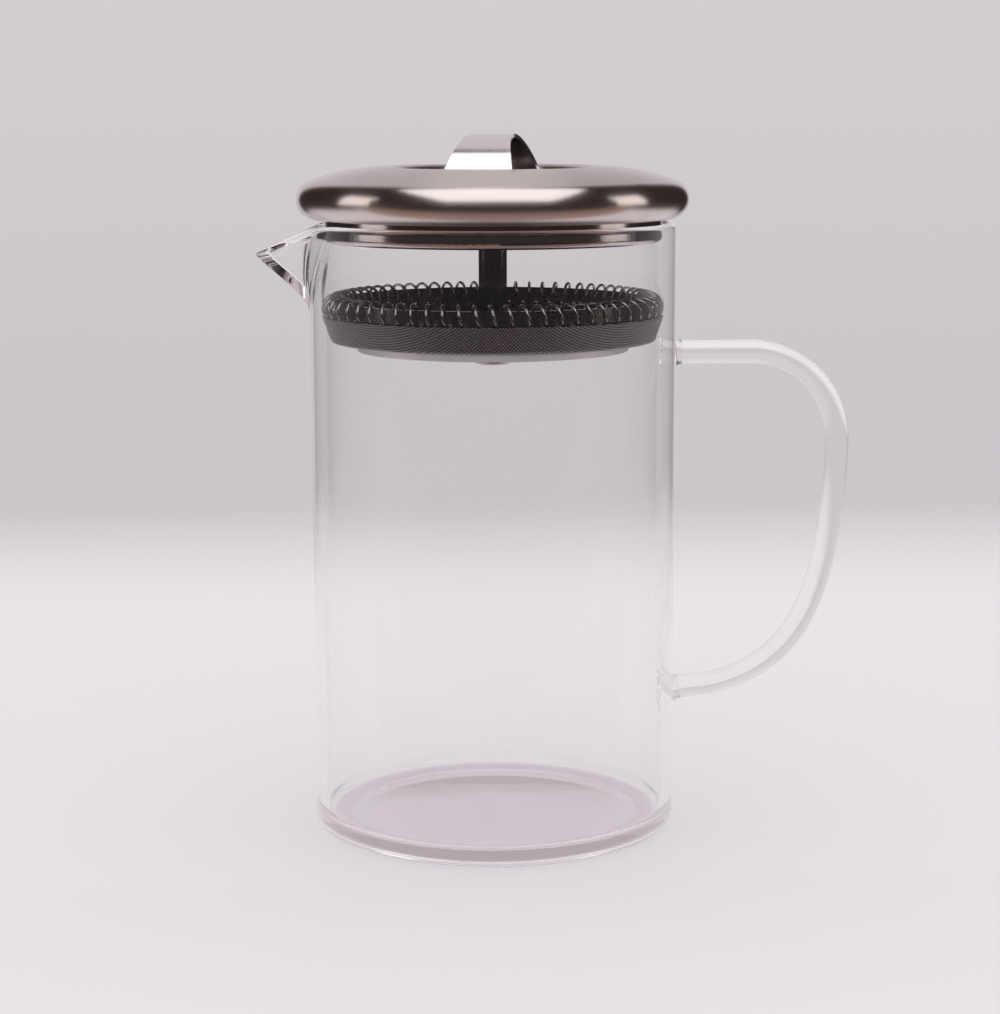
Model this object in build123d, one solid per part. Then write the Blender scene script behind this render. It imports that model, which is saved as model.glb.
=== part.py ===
from build123d import *
import math
import os

# Glass coffee press, in millimetres. The origin is the centre of the base where it stands,
# +Z is up, the handle is on the +X side and the pouring lip on the -X side.

# ---- driving dimensions -------------------------------------------------------------------

# Beaker
BEAKER_R = 45.0
WALL = 2.6
BORE_R = BEAKER_R - WALL
BEAKER_H = 151.0
BASE_CORNER_R = 3.7
STAND_R = 36.0
PUNT_H = 1.4
FLOOR_EDGE_Z = 4.0
FLOOR_DOME_Z = 4.6
FLOOR_CORNER_R = 3.0

# Pouring lip: a V channel pulled out of the rim, sized at its crease before rounding
LIP_TIP_R = 60.0
LIP_TIP_Z = 143.8
LIP_CREASE_Z = 130.9
LIP_HALF_ANGLE = 20.0
LIP_WALL = 2.1
LIP_OUTER_FILLET = 3.4
LIP_INNER_FILLET = 1.2

# Glass handle: one bent rod
ROD_GLASS_R = 2.9
HANDLE_TOP_Z = 118.7
HANDLE_STRAIGHT_X = 64.2
HANDLE_BENDS = ((22.0, 90.0), (150.0, 11.5), (65.0, 12.5), (32.5, 60.0))
BOSS_R = 3.65
BOSS_LENGTH = 1.8

# Lid
SHEET = 0.6
DOME_NOSE_R = 4.7
DOME_NOSE_CENTRE = (43.4, 156.7)
CROWN_R = 26.5
CROWN_Z = 164.5
RECESS_DEPTH = 2.9
RECESS_BEND_R = 3.3
DIMPLE_R = 8.5
DIMPLE_DEPTH = 1.0
HEM_R = 41.9
PAN_SHEET = 0.5
NECK_R = 41.6
PAN_BOTTOM_Z = 146.5
PAN_BEAD_R = 1.5
PAN_FLANGE_R = 43.4

# Plunger rod and its guide
ROD_R = 3.5
RUNNING_CLEARANCE = 0.05
ROD_TUBE_WALL = 0.8
BUSH_R = 5.0
BUSH_FLANGE_R = 7.5
BUSH_FLANGE_T = 0.9
BUSH_BOTTOM_Z = 144.8
GUIDE_WASHER_R = 8.0
GUIDE_WASHER_T = 0.6
GUIDE_NUT_ACROSS = 14.0
NUT_CHAMFER = 0.5
SPACER_R = 6.2
FIT_GAP = 0.05

# Strap handle: a closed loop of flat steel strip, an arch over a flat foot, narrowest at its top
STRAP_T = 0.9
STRAP_TOP_Z = 172.4
STRAP_ARCH_R = 24.0
STRAP_FOOT_Y = 19.3
STRAP_FOOT_W = 17.2
STRAP_CROWN_W = 11.0
STRAP_TURN = -14.0
STRAP_BEND_R = 1.6
STRAP_LIFT = 0.1

# Handle screw
SCREW_R = 1.5
SCREW_HEAD_R = 2.9
SCREW_HEAD_H = 1.5
SCREW_LENGTH = 8.0
SCREW_SLOT = (3.0, 0.5, 1.4)
TAP_RELIEF = 1.0
WASHER_T = 0.6
WASHER_R = 2.8
WASHER_SPLIT_TILT = 25.0

# Strainer stack on the rod's lower end
PLATE_Z = 122.6
PLATE_SHEET = 0.5
PLATE_CORNER_R = 1.2
MESH_SHEET = 0.3
COLLAR_R = 5.5
COLLAR_H = 1.9
STUD_R = 2.0
STUD_PLUG_LENGTH = 12.0
FLANGE_R = 39.0
FLANGE_TOP_Z = 132.3
COIL_RING_R = 39.0
COIL_RING_Z = 130.8
COIL_R = 2.75
WIRE_R = 0.38
COIL_TURNS = 67
COIL_SPANS = 4
COIL_HOLE_R = 0.8
PERFORATIONS = ((12.0, 9), (20.5, 15), (29.0, 21))
PERFORATION_R = 2.4
MESH_BOTTOM_R = 39.8
MESH_TOP_R = 42.0
MESH_TOP_Z = 128.7
MESH_CORNER_R = 1.0
CROSS_R = 33.5
CROSS_SHEET = 0.6
CROSS_LIP_Z = 120.0
CROSS_FLAT_R = 27.0
CROSS_DROP = 0.4
CROSS_BEND_R = 0.6
CROSS_WINDOWS = 6
CROSS_WINDOW_R = 16.5
CROSS_WINDOW_LENGTH = 14.0
CROSS_WINDOW_WIDTH = 9.0
HUB_R = 4.55
HUB_BOTTOM_Z = 116.2
HUB_CAP_T = 1.5
HUB_EDGE_R = 0.9

# ---- levels worked out from the driving dimensions ------------------------------------------

RECESS_Z = CROWN_Z - RECESS_DEPTH
DIMPLE_Z = RECESS_Z - DIMPLE_DEPTH
STRAP_Z = RECESS_Z + STRAP_LIFT
ROD_TOP_Z = STRAP_Z
MESH_Z = PLATE_Z - MESH_SHEET
CROSS_TOP_Z = MESH_Z
COLLAR_Z = PLATE_Z + PLATE_SHEET
ROD_BOTTOM_Z = COLLAR_Z + COLLAR_H
PLUG_R = ROD_R - ROD_TUBE_WALL
GUIDE_R = ROD_R + RUNNING_CLEARANCE


def disc(radius, bottom, top, hole=0.0):
    """A round disc or tube about the Z axis."""
    ring = Circle(radius)
    if hole:
        ring -= Circle(hole)
    return extrude(Plane.XY.offset(bottom) * ring, top - bottom)


def spun(*edges):
    """The solid swept by a closed outline in the XZ plane turning about Z."""
    return revolve(Plane.XZ * make_face(Curve() + list(edges)), Axis.Z)


def sheet_profile(edges, thickness, side):
    """A closed outline of constant thickness along an open chain of edges."""
    return offset(Wire(edges), thickness, kind=Kind.INTERSECTION, side=side)


# ---- beaker -----------------------------------------------------------------------------------

def beaker_blank():
    """The blown body: domed underside, round foot, straight wall and fire-polished rim."""
    rim_r = WALL / 2
    rim_z = BEAKER_H - rim_r
    under = TangentArc((0, PUNT_H), (STAND_R, 0), tangent=(1, 0))
    stand = Line((STAND_R, 0), (BEAKER_R - BASE_CORNER_R, 0))
    foot = JernArc(stand @ 1, (1, 0), BASE_CORNER_R, 90)
    outside = Line(foot @ 1, (BEAKER_R, rim_z))
    rim = JernArc(outside @ 1, (0, 1), rim_r, 180)
    floor_end = (BORE_R - FLOOR_CORNER_R, FLOOR_EDGE_Z)
    floor = TangentArc((0, FLOOR_DOME_Z), floor_end, tangent=(1, 0))
    corner = JernArc(floor_end, (1, 0), FLOOR_CORNER_R, 90)
    inside = Line(rim @ 1, corner @ 1)
    axis_line = Line((0, PUNT_H), (0, FLOOR_DOME_Z))
    return spun(under, stand, foot, outside, rim, inside, corner, floor, axis_line)


def lip_channel(wall, fillet_r):
    """A V prism along the crease of the pouring lip, its flanks moved inwards by wall."""
    half = math.radians(LIP_HALF_ANGLE)
    slope = math.atan2(LIP_TIP_Z - LIP_CREASE_Z, LIP_TIP_R - BEAKER_R)
    along = Vector(-math.cos(slope), 0, math.sin(slope))
    inward = Vector(math.sin(slope), 0, math.cos(slope))
    shoulder = Vector(BEAKER_R * (1 - math.cos(half)), 0, BEAKER_H - LIP_CREASE_Z)
    flank = math.atan2(BEAKER_R * math.sin(half), shoulder.dot(inward))
    apex = Vector(-BEAKER_R, 0, LIP_CREASE_Z) + inward * (wall / math.sin(flank))
    reach = BEAKER_H
    spread = reach * math.tan(flank)
    section = Polygon((0, 0), (reach, -spread), (reach, spread), align=None)
    section = fillet(section.vertices().sort_by(Axis.X)[0], fillet_r)
    frame = Plane(origin=apex - along * reach, x_dir=inward, z_dir=along)
    return extrude(frame * section, 2 * reach)


def lip_bounds():
    """The space the lip may fill: outside the bore, under the rim and under its own sloping edge."""
    shoulder_x = BEAKER_R * math.cos(math.radians(LIP_HALF_ANGLE))
    fall = (BEAKER_H - LIP_TIP_Z) / (LIP_TIP_R - shoulder_x)
    far_x = 2 * LIP_TIP_R
    outline = Polyline(
        (0, BEAKER_H),
        (-shoulder_x, BEAKER_H),
        (-far_x, BEAKER_H - fall * (far_x - shoulder_x)),
        (-far_x, 0),
        (0, 0),
        close=True,
    )
    return extrude(Plane.XZ * make_face(outline), BEAKER_R, both=True) - disc(BORE_R, 0, BEAKER_H)


def glass_beaker():
    """The blank with the lip's outer V added and its inner V cut through wall and rim."""
    outer_lip = lip_channel(0, LIP_OUTER_FILLET) & lip_bounds()
    inner_lip = lip_channel(LIP_WALL, LIP_INNER_FILLET)
    inner_lip &= Pos(-BEAKER_R, 0, BEAKER_H) * Box(BEAKER_R, BEAKER_H, BEAKER_H)
    return beaker_blank() + outer_lip - inner_lip


# ---- glass handle -----------------------------------------------------------------------------

def handle_path():
    """The rod's centre line, from the upper boss round to the lower one."""
    start_x = BEAKER_R + BOSS_LENGTH
    edges = [Line((start_x, HANDLE_TOP_Z), (HANDLE_STRAIGHT_X, HANDLE_TOP_Z))]
    for radius, turn in HANDLE_BENDS:
        edges.append(JernArc(edges[-1] @ 1, edges[-1] % 1, radius, -turn))
    last = edges[-1]
    run = ((last @ 1).X - start_x) / abs((last % 1).X)
    edges.append(Line(last @ 1, last @ 1 + (last % 1) * run))
    return Plane.XZ * Wire(edges)


def glass_handle():
    path = handle_path()
    section = Plane(origin=path @ 0, z_dir=path % 0) * Circle(ROD_GLASS_R)
    return sweep(section, path=path)


def boss(at, direction):
    """A short flared stub that joins one end of the rod to the wall."""
    root_length = BOSS_LENGTH + BOSS_R
    end = Plane(origin=at, z_dir=direction)
    near = end * Circle(ROD_GLASS_R)
    far = end.offset(root_length) * Circle(BOSS_R)
    stub = loft([near, far])
    return stub - disc(BEAKER_R, 0, BEAKER_H)


def handle_bosses():
    path = handle_path()
    return boss(path @ 0, (path % 0) * -1) + boss(path @ 1, path % 1)


# ---- lid --------------------------------------------------------------------------------------

def lid_dome():
    """The outer shell: turned-in hem, round nose, shallow crown, recess and centre dimple."""
    nose_x, nose_z = DOME_NOSE_CENTRE
    reach = nose_x - CROWN_R
    drop = CROWN_Z - nose_z
    crown_radius = (reach**2 + drop**2 - DOME_NOSE_R**2) / (2 * (drop - DOME_NOSE_R))
    crown_turn = math.degrees(math.asin(reach / (crown_radius - DOME_NOSE_R)))
    bend_turn = math.degrees(math.acos(1 - RECESS_DEPTH / (2 * RECESS_BEND_R)))
    hem = Line((HEM_R, nose_z - DOME_NOSE_R), (nose_x, nose_z - DOME_NOSE_R))
    nose = JernArc(hem @ 1, (1, 0), DOME_NOSE_R, 180 - crown_turn)
    crown = JernArc(nose @ 1, nose % 1, crown_radius, crown_turn)
    shoulder = JernArc(crown @ 1, crown % 1, RECESS_BEND_R, bend_turn)
    foot = JernArc(shoulder @ 1, shoulder % 1, RECESS_BEND_R, -bend_turn)
    recess = Line(foot @ 1, (DIMPLE_R + DIMPLE_DEPTH, RECESS_Z))
    wall = Line(recess @ 1, (DIMPLE_R, DIMPLE_Z))
    dimple = Line(wall @ 1, (BUSH_R + FIT_GAP, DIMPLE_Z))
    chain = [hem, nose, crown, shoulder, foot, recess, wall, dimple]
    profile = sheet_profile(chain, SHEET, Side.LEFT)
    return revolve(Plane.XZ * make_face(profile), Axis.Z)


def lid_pan():
    """The inner shell: flange held in the hem, neck that drops into the glass, flat floor."""
    flange_z = DOME_NOSE_CENTRE[1] - DOME_NOSE_R + SHEET
    flange = Line((PAN_FLANGE_R, flange_z), (NECK_R, flange_z))
    neck = Line(flange @ 1, (NECK_R, PAN_BOTTOM_Z + PAN_BEAD_R))
    bead = JernArc(neck @ 1, (0, -1), PAN_BEAD_R, -90)
    floor = Line(bead @ 1, (BUSH_R + FIT_GAP, PAN_BOTTOM_Z))
    profile = sheet_profile([flange, neck, bead, floor], PAN_SHEET, Side.RIGHT)
    return revolve(Plane.XZ * make_face(profile), Axis.Z)


def lid_spacer():
    return disc(SPACER_R, PAN_BOTTOM_Z + PAN_SHEET, DIMPLE_Z - SHEET, BUSH_R + FIT_GAP)


def guide_bush():
    flange = disc(BUSH_FLANGE_R, DIMPLE_Z, DIMPLE_Z + BUSH_FLANGE_T, GUIDE_R)
    tube = disc(BUSH_R, BUSH_BOTTOM_Z, DIMPLE_Z, GUIDE_R)
    return flange + tube


def guide_washer():
    return disc(GUIDE_WASHER_R, PAN_BOTTOM_Z - GUIDE_WASHER_T, PAN_BOTTOM_Z, BUSH_R + FIT_GAP)


def guide_nut():
    top = PAN_BOTTOM_Z - GUIDE_WASHER_T
    hexagon = RegularPolygon(GUIDE_NUT_ACROSS / 2, 6, major_radius=False)
    blank = extrude(Plane.XY.offset(BUSH_BOTTOM_Z) * hexagon, top - BUSH_BOTTOM_Z)
    corner_r = GUIDE_NUT_ACROSS / 2 / math.cos(math.radians(30))
    rounded = chamfer(disc(corner_r, BUSH_BOTTOM_Z, top).edges().filter_by(GeomType.CIRCLE), NUT_CHAMFER)
    return (blank & rounded) - disc(BUSH_R, BUSH_BOTTOM_Z, top)


# ---- strap handle -----------------------------------------------------------------------------

def strap_side():
    """The strap's outer outline from the side: flat foot and circular arch."""
    foot = Line((-STRAP_FOOT_Y, STRAP_Z), (STRAP_FOOT_Y, STRAP_Z))
    spring_z = STRAP_TOP_Z - STRAP_ARCH_R + math.sqrt(STRAP_ARCH_R**2 - STRAP_FOOT_Y**2)
    right = Line(foot @ 1, (STRAP_FOOT_Y, spring_z))
    arch = ThreePointArc(right @ 1, (0, STRAP_TOP_Z), (-STRAP_FOOT_Y, spring_z))
    left = Line(arch @ 1, foot @ 0)
    side = make_face(Curve() + [foot, right, arch, left])
    low = [v for v in side.vertices() if v.Y < STRAP_Z + STRAP_T / 2]
    return fillet(low, min(STRAP_BEND_R, 0.9 * (spring_z - STRAP_Z)))


def strap_plan():
    """The strap's outline from above: two straight ends and two waisted sides."""
    foot, crown = STRAP_FOOT_W / 2, STRAP_CROWN_W / 2
    near = Line((-foot, -STRAP_FOOT_Y), (foot, -STRAP_FOOT_Y))
    right = ThreePointArc(near @ 1, (crown, 0), (foot, STRAP_FOOT_Y))
    far = Line(right @ 1, (-foot, STRAP_FOOT_Y))
    left = ThreePointArc(far @ 1, (-crown, 0), near @ 0)
    return make_face(Curve() + [near, right, far, left])


def strap_handle():
    """A closed strip loop with a screw hole through the middle of its foot."""
    side = strap_side()
    side -= offset(side, -STRAP_T)
    loop = extrude(Plane.YZ * side, STRAP_FOOT_W, both=True)
    loop &= extrude(Plane.XY.offset(STRAP_Z - STRAP_T) * strap_plan(), 2 * STRAP_ARCH_R)
    loop -= disc(SCREW_R + FIT_GAP, STRAP_Z - STRAP_T, STRAP_Z + 2 * STRAP_T)
    return Rot(0, 0, STRAP_TURN) * loop


def spring_washer():
    """A split lock washer under the screw's head."""
    bottom = STRAP_Z + STRAP_T
    ring = disc(WASHER_R, bottom, bottom + WASHER_T, SCREW_R + FIT_GAP)
    gap = Pos(WASHER_R, 0, bottom) * Rot(0, WASHER_SPLIT_TILT, 0) * Box(2 * WASHER_R, WASHER_T, 4 * WASHER_T)
    return ring - gap


def handle_screw():
    """A pan-head screw with a cross slot, from the strap down into the rod's plug."""
    head_z = STRAP_Z + STRAP_T + WASHER_T
    head = disc(SCREW_HEAD_R, head_z, head_z + SCREW_HEAD_H)
    head = fillet(head.edges().sort_by(Axis.Z)[-1], SCREW_HEAD_H / 2)
    arm = Box(*SCREW_SLOT)
    slot = arm + Rot(0, 0, 90) * arm
    head -= Pos(0, 0, head_z + SCREW_HEAD_H) * slot
    return head + disc(SCREW_R, head_z - SCREW_LENGTH, head_z)


# ---- plunger rod ------------------------------------------------------------------------------

def rod_tube():
    return disc(ROD_R, ROD_BOTTOM_Z, ROD_TOP_Z, PLUG_R)


def rod_top_plug():
    """The tapped plug in the tube's upper end."""
    screw_tip = STRAP_Z + STRAP_T + WASHER_T - SCREW_LENGTH
    plug = disc(PLUG_R, ROD_TOP_Z - STUD_PLUG_LENGTH, ROD_TOP_Z)
    return plug - disc(SCREW_R, screw_tip - TAP_RELIEF, ROD_TOP_Z)


def rod_lower_stud():
    """The stud pressed into the tube's lower end; its thread carries the strainer."""
    plug = disc(PLUG_R, ROD_BOTTOM_Z, ROD_BOTTOM_Z + STUD_PLUG_LENGTH)
    thread = disc(STUD_R, HUB_BOTTOM_Z + HUB_CAP_T, ROD_BOTTOM_Z)
    return plug + thread


# ---- strainer ---------------------------------------------------------------------------------

def strainer_collar():
    return disc(COLLAR_R, COLLAR_Z, ROD_BOTTOM_Z, STUD_R + FIT_GAP)


def spiral_plate():
    """A perforated pan whose upright flange has one hole for each turn of the coil."""
    outer_r = FLANGE_R + PLATE_SHEET / 2
    floor = Line((STUD_R + FIT_GAP, PLATE_Z), (outer_r - PLATE_CORNER_R, PLATE_Z))
    bend = JernArc(floor @ 1, (1, 0), PLATE_CORNER_R, 90)
    flange = Line(bend @ 1, (outer_r, FLANGE_TOP_Z))
    profile = sheet_profile([floor, bend, flange], PLATE_SHEET, Side.LEFT)
    plate = revolve(Plane.XZ * make_face(profile), Axis.Z)
    punch = Cylinder(PERFORATION_R, 4 * PLATE_SHEET)
    for ring_r, count in PERFORATIONS:
        plate -= PolarLocations(ring_r, count) * (Pos(0, 0, PLATE_Z) * punch)
    drill = Rot(0, 90, 0) * Cylinder(COIL_HOLE_R, 6 * PLATE_SHEET)
    coil_hole = Pos(0, 0, COIL_RING_Z - COIL_R) * drill
    return plate - PolarLocations(FLANGE_R, COIL_TURNS) * coil_hole


def coil_point(turn):
    """Position and direction of the wire's centre line, turn being counted from the +X side."""
    around = -2 * math.pi * turn / COIL_TURNS
    roll = 2 * math.pi * turn - math.pi / 2
    reach = COIL_RING_R + COIL_R * math.cos(roll)
    here = Vector(reach * math.cos(around), reach * math.sin(around), COIL_RING_Z + COIL_R * math.sin(roll))
    out = Vector(math.cos(around), math.sin(around), 0)
    side = Vector(-math.sin(around), math.cos(around), 0)
    twist = out * (-math.sin(roll)) + Vector(0, 0, math.cos(roll))
    direction = twist * (2 * math.pi * COIL_R) - side * (2 * math.pi * reach / COIL_TURNS)
    return here, direction.normalized()


def tangent_arcs(start, start_dir, end, end_dir):
    """Two arcs that join two points smoothly, leaving and arriving along the given directions."""
    gap = end - start
    a = 2 * (1 - start_dir.dot(end_dir))
    b = 2 * gap.dot(start_dir + end_dir)
    reach = (math.sqrt(b * b + 4 * a * gap.dot(gap)) - b) / (2 * a)
    middle = (start + start_dir * reach + end - end_dir * reach) / 2
    first = TangentArc(start, middle, tangent=start_dir)
    return [first, TangentArc(middle, end, tangent=first % 1)]


def coil_spring():
    """One long coil bent into a ring through the flange's holes, its two ends almost meeting."""
    spans = COIL_TURNS * COIL_SPANS - 1
    edges = []
    for step in range(spans):
        start = coil_point(step / COIL_SPANS)
        end = coil_point((step + 1) / COIL_SPANS)
        edges += tangent_arcs(*start, *end)
    path = Wire(edges)
    return sweep(Plane(origin=path @ 0, z_dir=path % 0) * Circle(WIRE_R), path=path)


def mesh_screen():
    """The woven screen as a plain cup: flat under the plate, its edge flaring out to the glass."""
    start = (STUD_R + FIT_GAP, MESH_Z)
    base = (MESH_BOTTOM_R, MESH_Z)
    rim = (MESH_TOP_R, MESH_TOP_Z)
    chain = FilletPolyline(start, base, rim, radius=MESH_CORNER_R)
    profile = sheet_profile(chain.edges(), MESH_SHEET, Side.LEFT)
    return revolve(Plane.XZ * make_face(profile), Axis.Z)


def cross_plate():
    """The lower clamping plate: flat centre, sloping rim, turned-down lip, large windows."""
    rim_z = CROSS_TOP_Z - CROSS_DROP
    chain = FilletPolyline(
        (STUD_R + FIT_GAP, CROSS_TOP_Z),
        (CROSS_FLAT_R, CROSS_TOP_Z),
        (CROSS_R, rim_z),
        (CROSS_R, CROSS_LIP_Z),
        radius=CROSS_BEND_R,
    )
    profile = sheet_profile(chain.edges(), CROSS_SHEET, Side.RIGHT)
    plate = revolve(Plane.XZ * make_face(profile), Axis.Z)
    window = SlotOverall(CROSS_WINDOW_LENGTH, CROSS_WINDOW_WIDTH)
    cutter = extrude(Plane.XY.offset(CROSS_LIP_Z) * window, 2 * (CROSS_TOP_Z - CROSS_LIP_Z))
    return plate - PolarLocations(CROSS_WINDOW_R, CROSS_WINDOWS) * cutter


def hub_nut():
    """The closed nut that clamps the stack on the stud."""
    top = CROSS_TOP_Z - CROSS_SHEET
    nut = disc(HUB_R, HUB_BOTTOM_Z, top)
    nut = fillet(nut.edges().sort_by(Axis.Z)[0], HUB_EDGE_R)
    return nut - disc(STUD_R, HUB_BOTTOM_Z + HUB_CAP_T, top)


# ---- files ------------------------------------------------------------------------------------

PIECES = (
    glass_beaker,
    glass_handle,
    handle_bosses,
    lid_dome,
    lid_pan,
    lid_spacer,
    guide_bush,
    guide_washer,
    guide_nut,
    strap_handle,
    spring_washer,
    handle_screw,
    rod_tube,
    rod_top_plug,
    rod_lower_stud,
    strainer_collar,
    spiral_plate,
    coil_spring,
    mesh_screen,
    cross_plate,
    hub_nut,
)

os.makedirs("parts", exist_ok=True)
for piece in PIECES:
    shape = piece()
    export_step(shape, f"parts/{piece.__name__}.step")
    print(piece.__name__, round(shape.volume, 2))
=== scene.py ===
import math

import bpy
from mathutils import Matrix, Vector

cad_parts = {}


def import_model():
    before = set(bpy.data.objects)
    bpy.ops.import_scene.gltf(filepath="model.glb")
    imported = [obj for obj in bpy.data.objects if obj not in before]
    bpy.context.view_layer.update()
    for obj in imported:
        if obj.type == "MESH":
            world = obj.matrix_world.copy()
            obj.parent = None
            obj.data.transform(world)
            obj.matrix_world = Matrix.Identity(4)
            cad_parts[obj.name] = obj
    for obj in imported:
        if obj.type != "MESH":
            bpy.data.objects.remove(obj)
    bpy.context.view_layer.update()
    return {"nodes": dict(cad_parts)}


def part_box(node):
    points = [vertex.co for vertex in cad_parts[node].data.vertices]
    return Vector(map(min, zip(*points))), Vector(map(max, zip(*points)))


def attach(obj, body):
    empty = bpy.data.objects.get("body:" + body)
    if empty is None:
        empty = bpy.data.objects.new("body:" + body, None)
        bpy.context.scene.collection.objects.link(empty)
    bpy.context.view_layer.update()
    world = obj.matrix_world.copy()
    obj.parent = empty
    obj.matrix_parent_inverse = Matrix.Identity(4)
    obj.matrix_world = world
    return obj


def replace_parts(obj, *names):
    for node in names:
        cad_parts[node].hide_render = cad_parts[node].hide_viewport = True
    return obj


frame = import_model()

# Glass coffee press. Metres, the CAD's own frame: origin at the centre of the base, +Z up,
# handle towards +X, pouring lip towards -X, camera in front towards -Y.

MM = 0.001

# ---- sizes the finer meshes share with the CAD ------------------------------------------------

BEAKER_R = 45.0 * MM
WALL = 2.6 * MM
BORE_R = BEAKER_R - WALL
BEAKER_H = 151.0 * MM
RIM_R = WALL / 2
BASE_CORNER_R = 3.7 * MM
STAND_R = 36.0 * MM
PUNT_H = 1.4 * MM
FLOOR_EDGE_Z = 4.0 * MM
FLOOR_DOME_Z = 4.6 * MM
FLOOR_CORNER_R = 3.0 * MM
WALL_STEPS = 64
WALL_CROWDING = 1.8
FOOT_STEPS = 10
RIM_STEPS = 12
CORNER_STEPS = 8
DISC_STEPS = 14
WELD_REACH = 1e-7

LIP_TIP_R = 60.0 * MM
LIP_TIP_Z = 143.8 * MM
LIP_CREASE_Z = 130.9 * MM
LIP_HALF_ANGLE = math.radians(20.0)
LIP_WALL = 2.1 * MM
LIP_OUTER_ROUND = 0.5 * MM
LIP_INNER_ROUND = 0.4 * MM
LIP_BLEND = 4.0 * MM
LIP_REACH = 2 * LIP_HALF_ANGLE
RIM_PASSES = 12
FINE_ZONE = 28
FINE_COLUMNS = 80
FINE_CROWDING = 1.6
COARSE_COLUMNS = 230

ROD_GLASS_R = 2.9 * MM
HANDLE_TOP_Z = 118.7 * MM
HANDLE_STRAIGHT_X = 64.2 * MM
# Each bend of the handle: radius in millimetres, turn in degrees.
HANDLE_BENDS = ((22.0, 90.0), (150.0, 11.5), (65.0, 12.5), (32.5, 60.0))
BOSS_R = 3.65 * MM
BOSS_LENGTH = 1.8 * MM
BOSS_ROOT = 1.2 * MM
FLARE_FALLOFF = 2.5
ROD_SIDES = 48
ROD_START_STEPS = 40
ROD_END_STEPS = 30
ROD_BEND_STEPS = 8
ROD_BEND_SPACING = 40

COIL_RING_R = 39.0 * MM
COIL_RING_Z = 130.8 * MM
COIL_R = 2.75 * MM
WIRE_R = 0.38 * MM
COIL_TURNS = 67
COIL_STEPS = 36
COIL_SIDES = 8

MESH_BOTTOM_R = 39.8 * MM
SKIRT_START_R = MESH_BOTTOM_R * 0.985
WEAVE_PITCH = 0.62 * MM
WEAVE_TURN = math.radians(-45.0)

# ---- camera and studio --------------------------------------------------------------------------

CAMERA_LENS = 88.42
CAMERA_SENSOR = 36.0
CAMERA_TURN = math.radians(-3.3)
CAMERA_PITCH = math.radians(-9.281)
CAMERA_ROLL = math.radians(-0.139)
CAMERA_DISTANCE = 0.6139
CAMERA_STEP = 0.001633
CAMERA_HEIGHT = 0.1805
CAMERA_CLIP = 0.01

# Colours the world shows to the camera, to mirrors, to the floor and to rays caught inside glass.
BACKDROP = (0.604, 0.565, 0.591)
BACKDROP_TOP = (0.655, 0.615, 0.640)
DARK_ROOM = (0.030, 0.023, 0.021)
FILL = (1.09, 1.09, 1.09)
GLASS_EDGE = (0.53, 0.47, 0.47)
PAPER_FADE = (-0.14, 0.06)
BEHIND_FADE = (-0.12, 0.12)
BEHIND_SIDE = 2.4
BEHIND_RISE = 0.42

FLOOR = (0.80, 0.765, 0.79)
FLOOR_NEAR = 0.26
FLOOR_FAR = 0.58
FLOOR_SQUARENESS = 6.0
FLOOR_HALF = FLOOR_FAR * 1.05

# The front card glows and only mirrors see it: its brown near the press is a painted reflection of the
# table, black further off.
NEAR_REFLECTION_BROWN = (0.36, 0.245, 0.215)
BLACK = (0.0, 0.0, 0.0)
CARD_EDGE = 0.052
CARD_END = 1.2
CARD_HALF = 0.9
CARD_LIFT = 0.5 * MM
CARD_FADE = (-0.36, -0.13)

OVERHEAD_LOW = Vector((0, -0.595, 0.43))
OVERHEAD_HIGH = Vector((0, 0.27, 0.92))
OVERHEAD_WIDTH = 0.70
OVERHEAD_RADIANCE = 1.45
SIDE_WIDTH = 0.34
SIDE_HEIGHT = 0.5
SIDE_RADIANCE = 1.25
SIDE_COLOUR = (1, 0.95, 0.92)
SIDE_AIM = (0, 0, 0.13)
LEFT_BOX = (-0.80, -0.02, 0.34)
RIGHT_BOX = (0.80, -0.10, 0.34)

# A ray with more mirror reflections than this behind it passes straight through the glass.
MIRROR_LIMIT = 2.5
GLASS_IOR = 1.473
GLASS_COLOUR = (1, 0.995, 1, 1)
GLASS_MIRROR_TINT = (0.45, 0.45, 0.45, 1)
GLASS_STRAIGHT = (0.94, 0.933, 0.94, 1)


# ---- mesh helpers -------------------------------------------------------------------------------

def mesh_object(name, points, faces, body):
    """A smooth-shaded mesh that rides on a CAD body."""
    mesh = bpy.data.meshes.new(name)
    mesh.from_pydata(points, [], faces)
    mesh.validate()
    mesh.shade_smooth()
    obj = bpy.data.objects.new(name, mesh)
    bpy.context.scene.collection.objects.link(obj)
    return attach(obj, body)


def grid_faces(columns, rows):
    """Quads between neighbouring columns of equal length; the last column joins the first."""
    faces = []
    for i in range(columns):
        j = (i + 1) % columns
        for k in range(rows - 1):
            m = k + 1
            faces.append((i * rows + k, j * rows + k, j * rows + m, i * rows + m))
    return faces


def tube_faces(rings, sides):
    """Quads round a tube from ring to ring, and a flat cap on each end."""
    faces = []
    for k in range(rings - 1):
        for s in range(sides):
            t = (s + 1) % sides
            faces.append((k * sides + s, k * sides + t, (k + 1) * sides + t, (k + 1) * sides + s))
    faces.append(tuple(reversed(range(sides))))
    faces.append(tuple(range((rings - 1) * sides, rings * sides)))
    return faces


def arc(centre, radius, start, end, steps):
    """Points of an arc in the radius-height plane, angles in degrees from the +r direction."""
    points = []
    for k in range(steps + 1):
        a = math.radians(start + (end - start) * k / steps)
        points.append((centre[0] + radius * math.cos(a), centre[1] + radius * math.sin(a)))
    return points


def tube(path, radii, sides):
    """Points and faces of a closed round tube along a path in the XZ plane, a radius for each point."""
    points = []
    for k, here in enumerate(path):
        ahead = path[min(k + 1, len(path) - 1)] - path[max(k - 1, 0)]
        ahead.normalize()
        across = ahead.cross(Vector((0, 1, 0))).normalized()
        up = across.cross(ahead)
        for s in range(sides):
            a = 2 * math.pi * s / sides
            points.append(here + (across * math.cos(a) + up * math.sin(a)) * radii[k])
    return points, tube_faces(len(path), sides)


# ---- glass --------------------------------------------------------------------------------------

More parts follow.
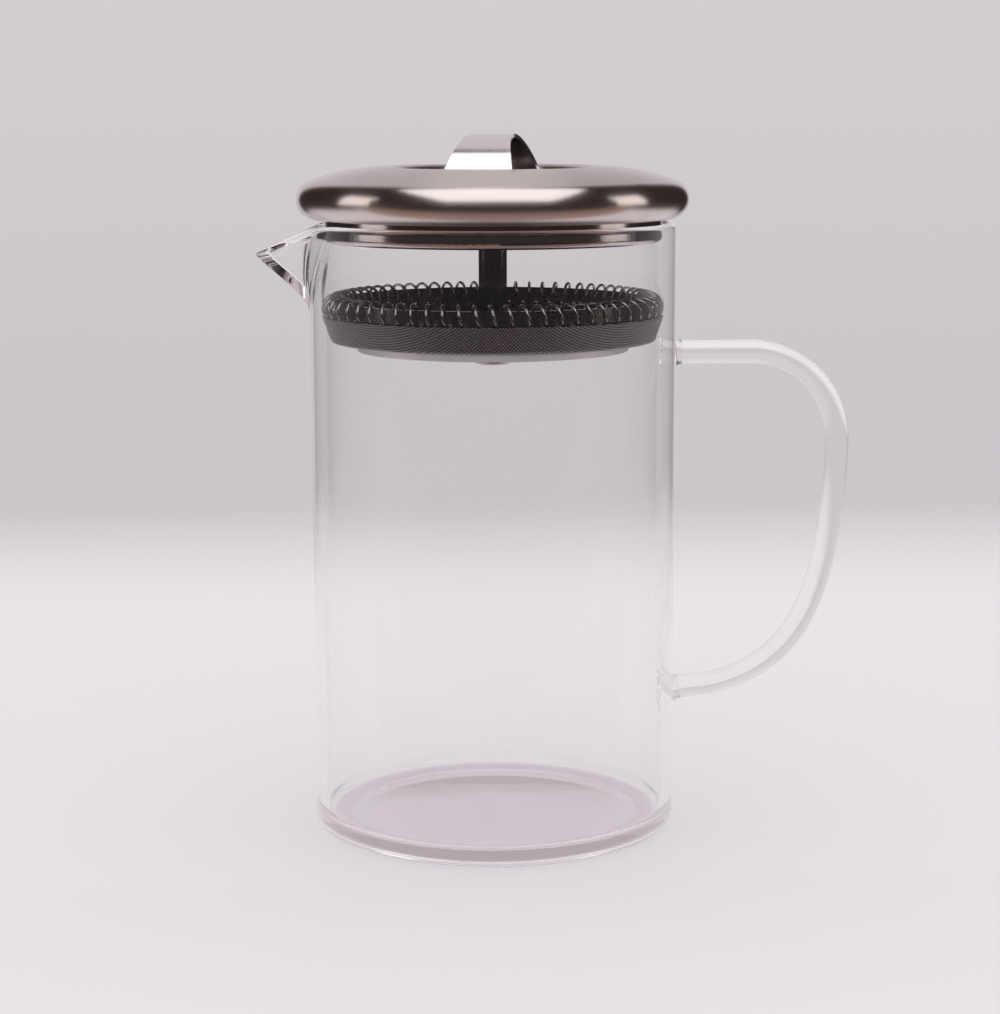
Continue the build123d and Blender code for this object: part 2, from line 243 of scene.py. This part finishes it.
def smooth_max(a, b, reach):
    """The larger of two lengths, with the corner between them rounded off."""
    h = max(reach - abs(a - b), 0.0) / reach
    return max(a, b) + h * h * reach / 4


def lip_radius(turn, z, inward, rounding):
    """How far the V channel's flank stands from the axis, at an angle from the lip's middle."""
    slope = math.atan2(LIP_TIP_Z - LIP_CREASE_Z, LIP_TIP_R - BEAKER_R)
    shoulder = BEAKER_R * (1 - math.cos(LIP_HALF_ANGLE)) * math.sin(slope)
    shoulder += (BEAKER_H - LIP_CREASE_Z) * math.cos(slope)
    spread = BEAKER_R * math.sin(LIP_HALF_ANGLE) / shoulder
    inset = inward / math.sin(math.atan(spread))
    depth = BEAKER_R * math.sin(slope) + (z - LIP_CREASE_Z) * math.cos(slope) - inset
    side = math.hypot(math.sin(turn), rounding / BEAKER_R)
    return spread * depth / (side + spread * math.sin(slope) * math.cos(turn))


def wall_radii(turn, z):
    """Outer and inner radius of the glass at an angle from the lip's middle and a height."""
    if abs(turn) > LIP_REACH:
        return BEAKER_R, BORE_R
    outer = lip_radius(turn, z, 0.0, LIP_OUTER_ROUND)
    inner = lip_radius(turn, z, LIP_WALL, LIP_INNER_ROUND)
    return smooth_max(BEAKER_R, outer, LIP_BLEND), smooth_max(BORE_R, inner, LIP_BLEND)


def rim_height(turn):
    """Top of the rim: level all round, and falling towards the lip's tip."""
    shoulder_x = BEAKER_R * math.cos(LIP_HALF_ANGLE)
    fall = (BEAKER_H - LIP_TIP_Z) / (LIP_TIP_R - shoulder_x)
    z = BEAKER_H
    for _ in range(RIM_PASSES):
        outer, inner = wall_radii(turn, z)
        reach = (outer + inner) / 2 * math.cos(turn) + RIM_R
        dropped = BEAKER_H - fall * (reach - shoulder_x)
        z = BEAKER_H - smooth_max(0.0, BEAKER_H - dropped, RIM_R)
    return z if abs(turn) < LIP_REACH else BEAKER_H


def wall_levels(bottom, top):
    """Heights up the wall, closer together near the top, where the lip is."""
    levels = []
    for k in range(WALL_STEPS + 1):
        t = k / WALL_STEPS
        levels.append(bottom + (top - bottom) * (1 - (1 - t) ** WALL_CROWDING))
    return levels


def glass_profile(turn):
    """One closed section of the beaker, from the middle of the underside out, up, over and down."""
    top = rim_height(turn) - RIM_R
    out = range(DISC_STEPS + 1)
    under = [(STAND_R * k / DISC_STEPS, PUNT_H * (1 - (k / DISC_STEPS) ** 2)) for k in out]
    foot_centre = (BEAKER_R - BASE_CORNER_R, BASE_CORNER_R)
    foot = arc(foot_centre, BASE_CORNER_R, -90, 0, FOOT_STEPS)
    outside = [(wall_radii(turn, z)[0], z) for z in wall_levels(BASE_CORNER_R, top)[1:]]
    outer, inner = wall_radii(turn, top)
    middle, half = (outer + inner) / 2, (outer - inner) / 2
    rim = [(middle + half * math.cos(a), top + RIM_R * math.sin(a))
           for a in (math.pi * k / RIM_STEPS for k in range(1, RIM_STEPS))]
    corner_z = FLOOR_EDGE_Z + FLOOR_CORNER_R
    inside = [(wall_radii(turn, z)[1], z) for z in reversed(wall_levels(corner_z, top))]
    edge_r = BORE_R - FLOOR_CORNER_R
    corner = arc((edge_r, corner_z), FLOOR_CORNER_R, 0, -90, CORNER_STEPS)[1:]
    rise = FLOOR_DOME_Z - FLOOR_EDGE_Z
    home = reversed(range(DISC_STEPS))
    dome = [(edge_r * k / DISC_STEPS, FLOOR_DOME_Z - rise * (k / DISC_STEPS) ** 2) for k in home]
    return under + foot + outside + rim + inside + corner + dome


def glass_turns():
    """Angles round the beaker from the lip's middle, closer together across the lip."""
    turns = []
    for k in range(-FINE_COLUMNS, FINE_COLUMNS + 1):
        off = FINE_ZONE * abs(k / FINE_COLUMNS) ** FINE_CROWDING
        turns.append(math.radians(math.copysign(off, k)))
    rest = 360 - 2 * FINE_ZONE
    for k in range(1, COARSE_COLUMNS):
        turns.append(math.radians(FINE_ZONE + rest * k / COARSE_COLUMNS))
    return turns


def beaker_mesh():
    """The beaker's sections joined all round, their shared middle points welded."""
    turns = glass_turns()
    points = []
    for turn in turns:
        short = (turn + math.pi) % (2 * math.pi) - math.pi
        for r, z in glass_profile(short):
            points.append((-r * math.cos(turn), -r * math.sin(turn), z))
    rows = len(points) // len(turns)
    faces = grid_faces(len(turns), rows)
    obj = mesh_object("fused_glass", points, faces, "beaker")
    weld = obj.modifiers.new("weld", "WELD")
    weld.merge_threshold = WELD_REACH
    return obj


def handle_centre():
    """The bent rod's centre line, starting and ending inside the beaker's wall."""
    start = Vector((BEAKER_R - BOSS_ROOT, 0, HANDLE_TOP_Z))
    here = Vector((HANDLE_STRAIGHT_X, 0, HANDLE_TOP_Z))
    path = [start.lerp(here, k / ROD_START_STEPS) for k in range(ROD_START_STEPS + 1)]
    heading = 0.0
    for radius, turn in HANDLE_BENDS:
        radius = radius * MM
        centre = here + Vector((math.sin(heading), 0, -math.cos(heading))) * radius
        steps = max(ROD_BEND_STEPS, int(turn * radius / MM / ROD_BEND_SPACING))
        for k in range(1, steps + 1):
            h = heading - math.radians(turn) * k / steps
            path.append(centre + Vector((-math.sin(h), 0, math.cos(h))) * radius)
        heading -= math.radians(turn)
        here = path[-1]
    way = Vector((math.cos(heading), 0, math.sin(heading)))
    run = (BEAKER_R - BOSS_ROOT - here.x) / way.x
    path += [here + way * run * k / ROD_END_STEPS for k in range(1, ROD_END_STEPS + 1)]
    return path


def handle_mesh():
    """The glass handle, each end flaring into the beaker's wall."""
    path = handle_centre()
    radii = []
    for here in path:
        clear = max(here.x - BEAKER_R, 0.0) / BOSS_LENGTH
        flare = math.exp(-clear * clear * FLARE_FALLOFF)
        radii.append(ROD_GLASS_R + (BOSS_R - ROD_GLASS_R) * flare)
    points, faces = tube(path, radii, ROD_SIDES)
    return mesh_object("handle_rod", points, faces, "beaker")


def fused_glass():
    """Beaker and handle as one body of glass, with no inner faces where they join."""
    beaker, handle = beaker_mesh(), handle_mesh()
    union = beaker.modifiers.new("union", "BOOLEAN")
    union.operation = "UNION"
    union.solver = "EXACT"
    union.object = handle
    bpy.context.view_layer.update()
    graph = bpy.context.evaluated_depsgraph_get()
    joined = bpy.data.meshes.new_from_object(beaker.evaluated_get(graph))
    beaker.modifiers.clear()
    beaker.data = joined
    bpy.data.objects.remove(handle)
    joined.shade_smooth()
    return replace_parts(beaker, "glass_beaker", "glass_handle", "handle_bosses")


# ---- coil ---------------------------------------------------------------------------------------

def coil_spring():
    """The long coil bent into a ring, its two ends a quarter turn apart."""
    total = COIL_TURNS * COIL_STEPS - COIL_STEPS // 4
    points = []
    for k in range(total + 1):
        around = -2 * math.pi * k / COIL_STEPS / COIL_TURNS
        roll = 2 * math.pi * k / COIL_STEPS - math.pi / 2
        out = Vector((math.cos(around), math.sin(around), 0))
        side = Vector((-math.sin(around), math.cos(around), 0))
        ray = out * math.cos(roll) + Vector((0, 0, math.sin(roll)))
        here = out * COIL_RING_R + Vector((0, 0, COIL_RING_Z)) + ray * COIL_R
        for s in range(COIL_SIDES):
            a = 2 * math.pi * s / COIL_SIDES
            points.append(here + (ray * math.cos(a) + side * math.sin(a)) * WIRE_R)
    obj = mesh_object("ring_coil", points, tube_faces(total + 1, COIL_SIDES), "plunger")
    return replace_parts(obj, "coil_spring")


# ---- materials ----------------------------------------------------------------------------------

class Look:
    """A material under construction."""

    def __init__(self, name):
        self.material = bpy.data.materials.new(name)
        self.material.use_nodes = True
        self.tree = self.material.node_tree
        self.shader = self.tree.nodes["Principled BSDF"]

    def set(self, **values):
        for name, value in values.items():
            label = name.replace("_", " ").title().replace("Ior", "IOR")
            self.shader.inputs[label].default_value = value

    def add(self, kind, **settings):
        node = self.tree.nodes.new("ShaderNode" + kind)
        for name, value in settings.items():
            setattr(node, name, value)
        return node

    def link(self, source, node, name):
        self.tree.links.new(source, node.inputs[name])

    def math(self, operation, a, b=0.0, c=0.0):
        node = self.add("Math", operation=operation)
        for slot, value in enumerate((a, b, c)):
            if isinstance(value, (int, float)):
                node.inputs[slot].default_value = value
            else:
                self.tree.links.new(value, node.inputs[slot])
        return node.outputs[0]

    def hypot(self, a, b):
        """The distance that two offsets at right angles add up to."""
        squares = self.math("ADD", self.math("MULTIPLY", a, a), self.math("MULTIPLY", b, b))
        return self.math("SQRT", squares)

    def blended(self, first, share, second, other_share):
        """Two patterns added in given shares."""
        part = self.math("MULTIPLY", first, share)
        return self.math("ADD", part, self.math("MULTIPLY", second, other_share))

    def ramp(self, source, low, high):
        """0 below one value of the source and 1 above another, smooth between."""
        node = self.add("MapRange", interpolation_type="SMOOTHSTEP")
        self.link(source, node, "Value")
        node.inputs["From Min"].default_value = low
        node.inputs["From Max"].default_value = high
        return node.outputs[0]

    def place(self):
        """The object coordinates as three sockets."""
        coords = self.add("TexCoord")
        split = self.add("SeparateXYZ")
        self.link(coords.outputs["Object"], split, 0)
        return split.outputs[0], split.outputs[1], split.outputs[2]

    def joined(self, x, y, z):
        join = self.add("CombineXYZ")
        for slot, value in enumerate((x, y, z)):
            if isinstance(value, (int, float)):
                join.inputs[slot].default_value = value
            else:
                self.tree.links.new(value, join.inputs[slot])
        return join.outputs[0]

    def noise(self, vector, scale, detail=2.0):
        node = self.add("TexNoise")
        node.inputs["Scale"].default_value = scale
        node.inputs["Detail"].default_value = detail
        self.link(vector, node, "Vector")
        return node.outputs["Fac"]

    def between(self, factor, low, high):
        """A factor from 0 to 1 spread between two numbers."""
        node = self.add("MapRange")
        self.link(factor, node, "Value")
        node.inputs["To Min"].default_value = low
        node.inputs["To Max"].default_value = high
        return node.outputs[0]

    def tint(self, factor, low, high):
        """A colour between two, by a factor."""
        node = self.add("Mix", data_type="RGBA")
        self.link(factor, node, 0)
        node.inputs[6].default_value = (*low, 1)
        node.inputs[7].default_value = (*high, 1)
        return node.outputs[2]

    def rough(self, source):
        self.link(source, self.shader, "Roughness")

    def coloured(self, source):
        self.link(source, self.shader, "Base Color")

    def bump(self, height, strength, distance):
        node = self.add("Bump")
        node.inputs["Strength"].default_value = strength
        node.inputs["Distance"].default_value = distance
        self.link(height, node, "Height")
        self.link(node.outputs[0], self.shader, "Normal")

    def radial_tangent(self):
        node = self.add("Tangent", direction_type="RADIAL", axis="Z")
        self.link(node.outputs[0], self.shader, "Tangent")

    def surface(self, source):
        self.link(source, self.tree.nodes["Material Output"], "Surface")

    def fading(self, factor, clear):
        """The finished shader where the factor is 0, a clear one where it is 1."""
        mix = self.add("MixShader")
        self.link(factor, mix, 0)
        self.link(self.shader.outputs[0], mix, 1)
        self.link(clear.outputs[0], mix, 2)
        self.surface(mix.outputs[0])


def clear_glass():
    """Clear, a little wavy. Shadow rays go straight through, and so do rays that bounced off
    something outside the glass, and rays already reflected more than MIRROR_LIMIT times."""
    look = Look("clear_glass")
    look.set(base_color=GLASS_COLOUR, roughness=0.0, ior=GLASS_IOR, transmission_weight=1.0)
    look.set(specular_tint=GLASS_MIRROR_TINT)
    x, y, z = look.place()
    upright = 0.35
    drawn_out = look.joined(x, y, look.math("MULTIPLY", z, upright))
    swirl = look.noise(drawn_out, scale=38.0, detail=1.0)
    look.bump(swirl, strength=0.25, distance=0.6 * MM)
    ray = look.add("LightPath").outputs
    inside = look.math("MODULO", ray["Transmission Depth"], 2.0)
    mirrored = look.math("SUBTRACT", ray["Is Glossy Ray"], ray["Is Transmission Ray"])
    bounced = look.math("MAXIMUM", mirrored, ray["Is Diffuse Ray"])
    outside = look.math("SUBTRACT", bounced, inside)
    spent = look.math("GREATER_THAN", ray["Glossy Depth"], MIRROR_LIMIT)
    straight = look.math("MAXIMUM", look.math("MAXIMUM", outside, spent), ray["Is Shadow Ray"])
    passing = look.add("BsdfTransparent")
    passing.inputs[0].default_value = GLASS_STRAIGHT
    look.fading(straight, passing)
    return look.material


def brushed_lid():
    """Stainless sheet with fine circular brushing: grooves round the axis, highlights across them."""
    look = Look("brushed_lid")
    look.set(metallic=1.0, anisotropic=0.92, anisotropic_rotation=0.25)
    x, y, z = look.place()
    radius = look.hypot(x, y)
    turn = look.math("ARCTAN2", y, x)
    drift = 0.0006
    groove = look.joined(radius, z, look.math("MULTIPLY", turn, drift))
    fine = look.noise(groove, scale=5200.0, detail=3.0)
    broad = look.noise(groove, scale=900.0, detail=2.0)
    both = look.blended(fine, 0.65, broad, 0.35)
    look.rough(look.between(both, low=0.16, high=0.30))
    look.coloured(look.tint(both, low=(0.60, 0.535, 0.51), high=(0.74, 0.675, 0.65)))
    look.bump(fine, strength=0.18, distance=0.02 * MM)
    look.radial_tangent()
    return look.material


def polished_strap():
    """Polished strip with faint scratches along its length."""
    look = Look("polished_strap")
    look.set(metallic=1.0)
    x, y, z = look.place()
    stretch = 0.03
    along = look.joined(x, look.math("MULTIPLY", y, stretch), look.math("MULTIPLY", z, stretch))
    scratch = look.noise(along, scale=3500.0, detail=3.0)
    look.rough(look.between(scratch, low=0.09, high=0.2))
    look.coloured(look.tint(scratch, low=(0.76, 0.71, 0.70), high=(0.88, 0.83, 0.82)))
    look.bump(scratch, strength=0.1, distance=0.01 * MM)
    return look.material


def turned_steel(name, low, high, smooth, rough, metallic):
    """Turned or pressed steel: fine rings round the axis and a little mottling."""
    look = Look(name)
    look.set(metallic=metallic)
    x, y, z = look.place()
    radius = look.hypot(x, y)
    rings = look.noise(look.joined(radius, z, 0.0), scale=2600.0, detail=2.0)
    mottle = look.noise(look.joined(x, y, z), scale=220.0, detail=3.0)
    both = look.blended(rings, 0.6, mottle, 0.4)
    look.rough(look.between(both, smooth, rough))
    look.coloured(look.tint(mottle, low, high))
    look.bump(rings, strength=0.12, distance=0.01 * MM)
    return look.material


def spring_wire():
    """Drawn wire with faint draw marks, coloured dark: partly steel, partly painted shade of the
    strainer's inside.
    """
    look = Look("spring_wire")
    look.set(metallic=1.0)
    x, y, z = look.place()
    marks = look.noise(look.joined(x, y, z), scale=1400.0, detail=2.0)
    look.rough(look.between(marks, low=0.08, high=0.16))
    # The dark wire colour is partly painted shade of the strainer's inside.
    look.coloured(look.tint(marks, low=(0.30, 0.27, 0.27), high=(0.42, 0.39, 0.39)))
    return look.material


def woven_mesh():
    """Square wire cloth drawn up from a flat disc, so the wires cross the skirt on a slant. The lines
    between the wires are painted near black: painted shade in the gaps of the weave.
    """
    look = Look("woven_mesh")
    look.set(metallic=1.0)
    x, y, z = look.place()
    radius = look.hypot(x, y)
    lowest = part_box("mesh_screen")[0]
    rise = look.math("MAXIMUM", look.math("SUBTRACT", z, lowest.z), 0.0)
    flat = look.math("MAXIMUM", look.math("ADD", rise, MESH_BOTTOM_R), radius)
    on_skirt = look.math("GREATER_THAN", radius, SKIRT_START_R)
    longer = look.math("SUBTRACT", look.math("DIVIDE", flat, radius), 1.0)
    spread = look.math("MULTIPLY_ADD", longer, on_skirt, 1.0)
    c, s = math.cos(WEAVE_TURN), math.sin(WEAVE_TURN)
    along = look.math("ADD", look.math("MULTIPLY", x, c), look.math("MULTIPLY", y, s))
    across = look.math("SUBTRACT", look.math("MULTIPLY", y, c), look.math("MULTIPLY", x, s))
    turns = 2 * math.pi / WEAVE_PITCH
    waves = []
    for way in (along, across):
        phase = look.math("MULTIPLY", look.math("MULTIPLY", way, spread), turns)
        waves.append(look.math("ABSOLUTE", look.math("SINE", look.math("MULTIPLY", phase, 0.5))))
    wires = look.math("MAXIMUM", waves[0], waves[1])
    cover_and_gap_shade = look.math("POWER", look.math("MULTIPLY", waves[0], waves[1]), 0.9)
    # The weave's near-black lines are painted shade in the gaps between the wires.
    look.coloured(look.tint(cover_and_gap_shade, low=(0.008, 0.008, 0.010), high=(0.36, 0.355, 0.375)))
    look.rough(look.between(wires, low=0.5, high=0.3))
    look.bump(cover_and_gap_shade, strength=0.9, distance=0.12 * MM)
    return look.material


# Turned or pressed steels: darkest and lightest colour, smoothest and roughest, share of metal.
STEELS = {
    # The plate steel is darkened: partly steel, partly painted shade of the strainer's inside.
    "plate_steel": ((0.22, 0.195, 0.19), (0.33, 0.30, 0.295), 0.12, 0.22, 1.0),
    "rod_steel": ((0.15, 0.13, 0.127), (0.22, 0.195, 0.19), 0.05, 0.10, 1.0),
    "fitting_steel": ((0.48, 0.46, 0.45), (0.60, 0.57, 0.56), 0.25, 0.38, 1.0),
    "pan_steel": ((0.50, 0.45, 0.43), (0.64, 0.59, 0.57), 0.10, 0.18, 1.0),
    "screw_steel": ((0.5, 0.48, 0.47), (0.64, 0.61, 0.6), 0.18, 0.3, 1.0),
    # The lip's light, partly non-metal finish is a painted reflection of the pale backdrop on the cross
    # plate's curled lip.
    "lip_steel_painted_reflection": ((0.74, 0.70, 0.71), (0.82, 0.78, 0.79), 0.25, 0.4, 0.35),
    "hub_steel": ((0.40, 0.38, 0.38), (0.52, 0.50, 0.49), 0.2, 0.32, 1.0),
}

# The finish of each CAD node that stays in view.
FINISHES = {
    "lid_dome": "brushed_lid",
    "lid_pan": "pan_steel",
    "lid_spacer": "fitting_steel",
    "guide_bush": "rod_steel",
    "guide_washer": "plate_steel",
    "guide_nut": "fitting_steel",
    "strap_handle": "polished_strap",
    "spring_washer": "fitting_steel",
    "handle_screw": "screw_steel",
    "rod_tube": "rod_steel",
    "rod_top_plug": "fitting_steel",
    "rod_lower_stud": "fitting_steel",
    "strainer_collar": "rod_steel",
    "spiral_plate": "plate_steel",
    "mesh_screen": "woven_mesh",
    "cross_plate": "lip_steel_painted_reflection",
    "hub_nut": "hub_steel",
}


def dress_nodes():
    """A finish for every CAD node that stays in view."""
    made = {name: turned_steel(name, *recipe) for name, recipe in STEELS.items()}
    made["brushed_lid"] = brushed_lid()
    made["polished_strap"] = polished_strap()
    made["woven_mesh"] = woven_mesh()
    for node, finish in FINISHES.items():
        frame["nodes"][node].material_slots[0].material = made[finish]


# ---- camera, floor and light --------------------------------------------------------------------

def camera():
    """The camera that took the photo, as fitted to it: a small turn, pitch and roll."""
    data = bpy.data.cameras.new("camera")
    data.lens = CAMERA_LENS
    data.sensor_width = CAMERA_SENSOR
    data.clip_start = CAMERA_CLIP
    obj = bpy.data.objects.new("camera", data)
    turn = Matrix.Rotation(CAMERA_TURN, 4, "Z")
    tip = Matrix.Rotation(math.pi / 2 + CAMERA_PITCH, 4, "X")
    roll = Matrix.Rotation(CAMERA_ROLL, 4, "Z")
    place = turn @ Matrix.Translation((CAMERA_STEP, -CAMERA_DISTANCE, CAMERA_HEIGHT))
    obj.matrix_world = place @ tip @ roll
    bpy.context.scene.collection.objects.link(obj)
    bpy.context.scene.camera = obj


def stage_plane(name, x0, x1, y0, y1, z, material):
    """A flat rectangle that belongs to the studio."""
    mesh = bpy.data.meshes.new(name)
    mesh.from_pydata([(x0, y0, z), (x1, y0, z), (x1, y1, z), (x0, y1, z)], [], [(0, 1, 2, 3)])
    mesh.materials.append(material)
    obj = bpy.data.objects.new(name, mesh)
    bpy.context.scene.collection.objects.link(obj)
    return obj


def floor():
    """A pale sheet that fades into the backdrop a little way behind and beside the press."""
    look = Look("floor_paper")
    look.set(base_color=(*FLOOR, 1), roughness=0.6, specular_ior_level=0.2)
    x, y = look.place()[:2]
    ways = [look.math("POWER", look.math("ABSOLUTE", way), FLOOR_SQUARENESS) for way in (x, y)]
    reach = look.math("POWER", look.math("ADD", *ways), 1 / FLOOR_SQUARENESS)
    fade = look.ramp(reach, FLOOR_NEAR, FLOOR_FAR)
    look.fading(fade, look.add("BsdfTransparent"))
    stage_plane("floor", -FLOOR_HALF, FLOOR_HALF, -FLOOR_HALF, FLOOR_HALF, 0.0, look.material)


def dark_card():
    """A glowing card on the table, seen only in reflections: a painted reflection, brown near the
    press, black further off.
    """
    look = Look("front_card")
    fade = look.ramp(look.place()[1], *CARD_FADE)
    glow = look.add("Emission")
    # The card's brown glow near the press is a painted reflection; it turns black further off.
    look.link(look.tint(fade, BLACK, NEAR_REFLECTION_BROWN), glow, "Color")
    look.surface(glow.outputs[0])
    sides = (-CARD_HALF, CARD_HALF, -CARD_END, -CARD_EDGE)
    card = stage_plane("front_card", *sides, CARD_LIFT, look.material)
    card.visible_camera = False
    card.visible_diffuse = False
    card.visible_transmission = False
    card.visible_shadow = False


def softbox(name, at, aim, width, height, radiance, colour=(1, 1, 1)):
    """A rectangular light that faces a point; radiance is what a mirror would show."""
    data = bpy.data.lights.new(name, "AREA")
    data.shape = "RECTANGLE"
    data.size = width
    data.size_y = height
    data.energy = radiance * math.pi * width * height
    data.color = colour
    obj = bpy.data.objects.new(name, data)
    obj.location = at
    obj.rotation_euler = (Vector(aim) - Vector(at)).to_track_quat("-Z", "Y").to_euler()
    obj.visible_camera = False
    obj.visible_diffuse = False
    bpy.context.scene.collection.objects.link(obj)


def lights():
    """One wide box that rises from over the camera to behind the lid, and one box each side."""
    along = OVERHEAD_HIGH - OVERHEAD_LOW
    across = along.cross(Vector((1, 0, 0)))
    middle = (OVERHEAD_LOW + OVERHEAD_HIGH) / 2
    softbox("overhead", middle, middle + across, OVERHEAD_WIDTH, along.length, OVERHEAD_RADIANCE)
    side = (SIDE_AIM, SIDE_WIDTH, SIDE_HEIGHT, SIDE_RADIANCE, SIDE_COLOUR)
    softbox("left_side", LEFT_BOX, *side)
    softbox("right_side", RIGHT_BOX, *side)


class Sky:
    """The world's nodes under construction."""

    def __init__(self, name):
        made = bpy.data.worlds.new(name)
        bpy.context.scene.world = made
        made.use_nodes = True
        self.tree = made.node_tree
        self.shader = self.tree.nodes["Background"]

    add = Look.add
    link = Look.link
    math = Look.math
    hypot = Look.hypot
    ramp = Look.ramp

    def mixed(self, factor, first, second):
        node = self.add("Mix", data_type="RGBA")
        self.link(factor, node, 0)
        for slot, value in ((6, first), (7, second)):
            if isinstance(value, tuple):
                node.inputs[slot].default_value = (*value, 1)
            else:
                self.tree.links.new(value, node.inputs[slot])
        return node.outputs[2]


def world():
    """A pale backdrop; mirrors see it only behind the press, with a dark room round the rest."""
    sky = Sky("studio")
    coords = sky.add("TexCoord")
    split = sky.add("SeparateXYZ")
    sky.link(coords.outputs["Generated"], split, 0)
    x, y, z = split.outputs
    ray = sky.add("LightPath").outputs
    paper = sky.mixed(sky.ramp(z, *PAPER_FADE), BACKDROP, BACKDROP_TOP)
    side = sky.math("MULTIPLY", x, BEHIND_SIDE)
    rise = sky.math("MULTIPLY", z, BEHIND_RISE)
    behind = sky.ramp(sky.math("SUBTRACT", y, sky.hypot(side, rise)), *BEHIND_FADE)
    mirrored = sky.mixed(behind, DARK_ROOM, paper)
    reflection = sky.math("SUBTRACT", ray["Is Glossy Ray"], ray["Is Transmission Ray"])
    trapped = sky.math("MODULO", ray["Transmission Depth"], 2.0)
    reflection = sky.math("SUBTRACT", reflection, trapped)
    seen = sky.mixed(reflection, sky.mixed(trapped, paper, GLASS_EDGE), mirrored)
    colour = sky.mixed(ray["Is Diffuse Ray"], seen, FILL)
    sky.link(colour, sky.shader, "Color")


camera()
world()
floor()
dark_card()
lights()
glass = fused_glass()
coil = coil_spring()
glass.data.materials.clear()
glass.data.materials.append(clear_glass())
coil.data.materials.append(spring_wire())
dress_nodes()
bpy.context.scene.view_settings.view_transform = "Standard"
